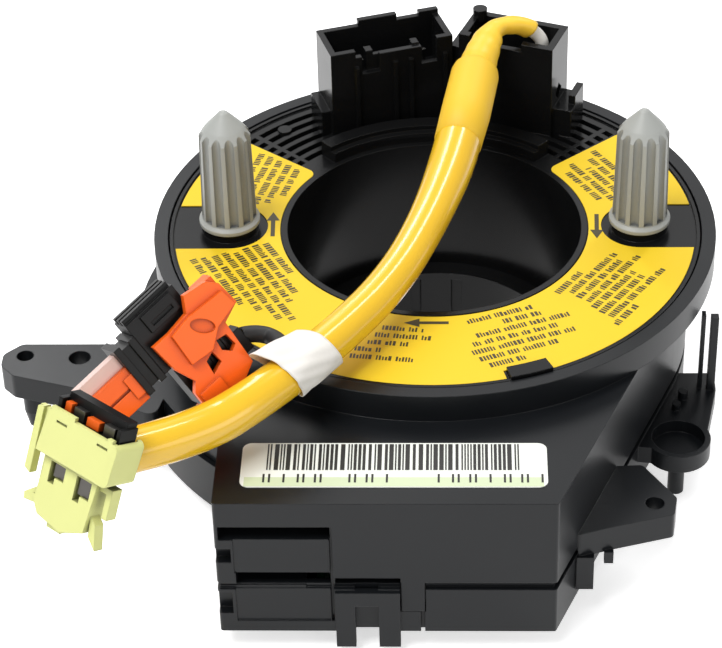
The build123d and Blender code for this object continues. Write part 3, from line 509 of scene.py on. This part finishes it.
def tape_cover():
    """The tape round the tube, with a loose fold that stands up over the branch cable."""
    columns, rows = 72, 20
    fold_width = 0.52
    slant_reach, slant_from = 1.3, 0.9
    rings = []
    for row in range(rows + 1):
        part = row / rows
        ring = []
        for column in range(columns):
            turn = math.tau * column / columns
            off = math.remainder(turn, math.tau)
            slant = slant_reach * math.cos(turn + slant_from)
            # The fold stands higher and is pulled further along towards the tape's far edge.
            fold = math.exp(-((off / fold_width) ** 2))
            peak = 1.0 + 1.6 * part
            pull = (1.8 + 0.8 * part) * fold
            distance = TAPE_START + (TAPE_END - TAPE_START) * part + slant + pull
            place, way = along_line(tube_line, distance)
            up = (TAPE_LOBE - way * TAPE_LOBE.dot(way)).normalized()
            side = way.cross(up)
            crease = 0.10 * math.sin(5 * turn + 4 * part) + 0.07 * math.sin(11 * turn - 9 * part)
            radius = TAPE_RADIUS + peak * fold + crease * (0.4 + part)
            ring.append(metres(place + (up * math.cos(turn) + side * math.sin(turn)) * radius))
        rings.append(ring)
    cover = ring_skin("tape_cover", rings, "rotor", TAPE_WHITE)
    thickness = cover.modifiers.new("thickness", "SOLIDIFY")
    thickness.thickness = TAPE_THICKNESS * MM
    thickness.offset = 1.0
    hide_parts("tape_wrap")
    return cover


collar = tube_collar()
tape = tape_cover()


def painted_slot_shade():
    """A ribbed black plate on plug B's body, put there as painted shade so that the two slots of its clip
    look dark.
    """
    across = PLUG_B_FACE.cross(PLUG_B_LENGTH)
    mesh = bmesh.new()
    blocks = [((1.5, 8.5), (-9.4, -3.6), (-1.1, -0.5))]
    blocks += [((x, x + 0.5), (-9.0, -4.0), (-0.6, -0.2)) for x in (2.2, 3.9, 5.6, 7.3)]
    for spans in blocks:
        for vertex in bmesh.ops.create_cube(mesh, size=1.0)["verts"]:
            x, y, z = (low if part < 0 else high for part, (low, high) in zip(vertex.co, spans))
            vertex.co = metres(PLUG_B_PLACE + PLUG_B_LENGTH * x + across * y + PLUG_B_FACE * z)
    data = bpy.data.meshes.new("painted_slot_shade")
    mesh.to_mesh(data)
    mesh.free()
    return seat(placed("painted_slot_shade", data), "rotor", PLUG_BLACK)


slot_shade_plate = painted_slot_shade()


# ---------------------------------------------------------------- print on the label

def polar(radius, angle_deg):
    """A level vector of a length and a direction."""
    angle = math.radians(angle_deg)
    return Vector((radius * math.cos(angle), radius * math.sin(angle), 0))


def bar_rows(angle_deg, first_radius, pitch, spans, draws):
    """Rows of short upright bars in words across the label, their feet to the rim."""
    outward = polar(1, angle_deg)
    along = polar(1, angle_deg + 90)
    quads = []
    for row, (start, end) in enumerate(spans):
        middle = outward * (first_radius + row * pitch) + Vector((0, 0, LABEL_TOP + INK_LIFT))
        left_in_word = draws.randint(*WORD_MARKS)
        while start < end - MARK_WIDTHS[0]:
            width = draws.choice(MARK_WIDTHS)
            foot, head = draws.choice(MARK_ENDS)
            corners = ((start, -head), (start + width, -head), (start + width, -foot), (start, -foot))
            quads.append([middle + along * x + outward * y * MARK_HEIGHT for x, y in corners])
            left_in_word -= 1
            start += width + (MARK_GAP if left_in_word else WORD_GAP)
            if not left_in_word:
                left_in_word = draws.randint(*WORD_MARKS)
    return quads


# Where each row of the two tallest blocks of print starts and ends.
LEFT_SPANS = [(-10, 1), (-10.5, 7.5), (-10.5, 9), (-10, 14), (-11, 12.5), (-11, 8.5), (-11.5, 5), (-12, 1)]
RIGHT_SPANS = [(-5, 3), (-3.5, 11.5), (-4, 10), (-4, 13), (-5, 9), (-5.5, 8.5), (-5.5, 12.5), (-7, 0)]
# Each block of print: its angle, the first row's radius, the pitch and the rows' starts and ends.
LABEL_ROWS = [
    (165, 30.6, 2.1, [(-11.5, -2), (-12.5, 1), (-13.5, 2.5), (-14.5, 0), (-15, -5.5)]),
    (209, 30.3, 2.0, LEFT_SPANS),
    (263, 32.9, 2.2, [(-5, 2.5), (-6, 4), (-7, 0.5), (-9, -4), (-9.5, 2.5)]),
    (291.5, 30.6, 2.2, [(-5.5, 7), (0.5, 8), (-5.5, 12.5), (-7, 9.5), (-8, 11.5), (-7.5, 8), (-6.5, 0.5)]),
    (325, 30.8, 1.95, RIGHT_SPANS),
    (32, 31.0, 2.1, [(-9.5, 1.5), (-11, 3.5), (-9.5, 1), (-7, 4), (-2.5, 5)]),
]
# Each arrow: the middle of its length and the way it points, in degrees.
LABEL_ARROWS = [((-30.3, 0.4), 92), ((30.4, -0.6), 268), ((-1.2, -30.7), 180)]


def arrow(place, angle_deg, length=8.0):
    """A plain arrow, as its shaft and its head."""
    along = polar(1, angle_deg)
    across = polar(1, angle_deg + 90)
    tip = Vector((*place, LABEL_TOP + INK_LIFT)) + along * length / 2
    head, half_head, half_shaft = 2.8, 1.25, 0.4

    def at(back, side):
        return tip - along * back + across * side

    shaft = [
        at(head, -half_shaft),
        at(head, half_shaft),
        at(length, half_shaft),
        at(length, -half_shaft),
    ]
    return [shaft, [at(0, 0), at(head, half_head), at(head, -half_head)]]


label_draws = random.Random(7)
label_marks = []
for block in LABEL_ROWS:
    label_marks += bar_rows(*block, label_draws)
for arrow_place, arrow_angle in LABEL_ARROWS:
    label_marks += arrow(arrow_place, arrow_angle)
ink_piece("label_print", label_marks, "rotor")

# ---------------------------------------------------------------- print on the white plate

# Bands are shares of the plate's height, counted from its far edge.
BARS_BAND = (0.03, 0.62)
BARS_FROM_LEFT = 4.3
BARS_FROM_RIGHT = 4.6
BAR_WIDTHS = (0.25, 0.25, 0.5, 0.75)
BAR_GAPS = (0.25, 0.25, 0.5)
TICKS_BAND = (0.71, 0.90)
TICKS_FROM_LEFT = 3.8
TICK_STEPS = 17
TICK_PITCH = 2.9
TICK_WIDTH = 0.36
PAIR_PITCH = 0.95
LONE_SHIFT = 0.5
BARE_STEPS = (4, 8, 9)
STRIP_BAND = (0.78, 0.985)
STRIP_MARGIN = 0.7

plate_low, plate_high = (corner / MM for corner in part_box("plate_label"))
plate_draws = random.Random(4)


def plate_rect(x_span, y_span, lift=INK_LIFT):
    """A rectangle just above the plate's face."""
    z = plate_high.z + lift
    (left, right), (foot, top) = x_span, y_span
    return [(left, foot, z), (right, foot, z), (right, top, z), (left, top, z)]


def plate_band(top_share, foot_share):
    """The Y span between two shares of the plate's height, counted from its far edge."""
    height = plate_high.y - plate_low.y
    return (plate_high.y - foot_share * height, plate_high.y - top_share * height)


def plate_bars():
    """Upright bars of a few plain widths."""
    quads = []
    x = plate_low.x + BARS_FROM_LEFT
    while x < plate_high.x - BARS_FROM_RIGHT:
        width = plate_draws.choice(BAR_WIDTHS)
        quads.append(plate_rect((x, x + width), plate_band(*BARS_BAND), 2 * INK_LIFT))
        x += width + plate_draws.choice(BAR_GAPS)
    return quads


def plate_ticks():
    """A row of short ticks, alone and in pairs, under the bars."""
    quads = []
    for step in range(TICK_STEPS):
        if step in BARE_STEPS:
            continue
        x = plate_low.x + TICKS_FROM_LEFT + TICK_PITCH * step
        for tick in (x, x + PAIR_PITCH) if step % 3 != 1 else (x + LONE_SHIFT,):
            quads.append(plate_rect((tick, tick + TICK_WIDTH), plate_band(*TICKS_BAND), 2 * INK_LIFT))
    return quads


ink_piece("plate_print", plate_bars() + plate_ticks(), "stator", INK_BLACK)
strip_span = (plate_low.x + STRIP_MARGIN, plate_high.x - STRIP_MARGIN)
lower_strip = plate_rect(strip_span, plate_band(*STRIP_BAND))
ink_piece("plate_strip", [lower_strip], "stator", PLATE_GREEN)

# ---------------------------------------------------------------- floor, light and camera

FLOOR_LEVEL = cad_low.z
FLOOR_SIZE = 6.0
FLOOR_GLOW_SEEN = 0.62
FLOOR_GLOW_IN_GLOSS = 0.35
WORLD_LEVEL = 0.42

# Each lamp: its place and the point it looks at in metres, its size and its power in watts.
LAMPS = {
    "key": ((-0.3, -0.25, 0.75), (0, 0, 0), (0.5, 0.35), 5.4),
    "back_strip_right": ((0.26, 0.36, 0.66), (0, 0, 0.03), (0.07, 0.4), 1.3),
    "back_strip_left": ((-0.19, 0.5, 0.6), (0, 0, 0.03), (0.07, 0.4), 0.9),
    "back_card": ((0, 0.8, 0.62), (0, 0, 0), (1.0, 0.5), 1.3),
    "front_fill": ((0.5, -0.6, 0.25), (0, -0.03, 0), (0.35, 0.3), 0.8),
}

# The camera: its place and aim in millimetres, its tilt in degrees and its lens.
CAMERA_PLACE = (4.67, -402.1, 302.3)
CAMERA_AIM = (-12.80, -31.53, 25.2)
CAMERA_TILT = -1.733
CAMERA_LENS = 129.69
SENSOR_WIDTH = 36.0
CLIP_START = 0.01


def floor():
    """A wide pale floor under the part."""
    bpy.ops.mesh.primitive_plane_add(size=FLOOR_SIZE, location=(0, 0, FLOOR_LEVEL))
    plane = bpy.context.object
    plane.name = "floor"
    material = bpy.data.materials.new("pale_floor")
    material.use_nodes = True
    tree = material.node_tree
    shader = tree.nodes["Principled BSDF"]
    shader.inputs["Base Color"].default_value = (0.93, 0.93, 0.93, 1)
    shader.inputs["Roughness"].default_value = 0.9
    shader.inputs["Emission Color"].default_value = (1, 1, 1, 1)
    rays = tree.nodes.new("ShaderNodeLightPath")
    to_camera = math_node(tree, "MULTIPLY", rays.outputs["Is Camera Ray"], FLOOR_GLOW_SEEN)
    in_gloss = math_node(tree, "MULTIPLY", rays.outputs["Is Glossy Ray"], FLOOR_GLOW_IN_GLOSS)
    tree.links.new(math_node(tree, "MAXIMUM", to_camera, in_gloss), shader.inputs["Emission Strength"])
    plane.data.materials.append(material)


def world_light(strength):
    """An even white world, seen as pure white by the camera."""
    world = bpy.data.worlds.new("studio")
    world.use_nodes = True
    tree = world.node_tree
    back = tree.nodes["Background"]
    back.inputs["Color"].default_value = (1, 1, 1, 1)
    seen = tree.nodes.new("ShaderNodeLightPath")
    level = tree.nodes.new("ShaderNodeMapRange")
    level.inputs["To Min"].default_value = strength
    level.inputs["To Max"].default_value = 1.0
    tree.links.new(seen.outputs["Is Camera Ray"], level.inputs["Value"])
    tree.links.new(level.outputs["Result"], back.inputs["Strength"])
    bpy.context.scene.world = world


def soft_box(name, place, aim, size, power):
    """A rectangular lamp that looks at a point."""
    lamp = bpy.data.lights.new(name, "AREA")
    lamp.shape = "RECTANGLE"
    lamp.size, lamp.size_y = size
    lamp.energy = power
    holder = bpy.data.objects.new(name, lamp)
    holder.location = place
    holder.rotation_euler = (Vector(aim) - Vector(place)).to_track_quat("-Z", "Y").to_euler()
    bpy.context.scene.collection.objects.link(holder)


def camera():
    """The camera, tilted a little about its own line of sight."""
    place = metres(CAMERA_PLACE)
    aim = metres(CAMERA_AIM)
    tilt = math.radians(CAMERA_TILT)
    look = (aim - place).normalized()
    side = look.cross(Vector((0, 0, 1))).normalized()
    rise = side.cross(look)
    across = side * math.cos(tilt) + rise * math.sin(tilt)
    above = rise * math.cos(tilt) - side * math.sin(tilt)
    data = bpy.data.cameras.new("camera")
    data.sensor_width = SENSOR_WIDTH
    data.lens = CAMERA_LENS
    data.clip_start = CLIP_START
    eye = bpy.data.objects.new("camera", data)
    turn = Matrix((across, above, -look)).transposed()
    eye.matrix_world = Matrix.Translation(place) @ turn.to_4x4()
    bpy.context.scene.collection.objects.link(eye)
    bpy.context.scene.camera = eye


floor()
world_light(WORLD_LEVEL)
for lamp_name, (lamp_place, lamp_aim, lamp_size, lamp_power) in LAMPS.items():
    soft_box(lamp_name, lamp_place, lamp_aim, lamp_size, lamp_power)
camera()
bpy.context.scene.view_settings.view_transform = "Standard"
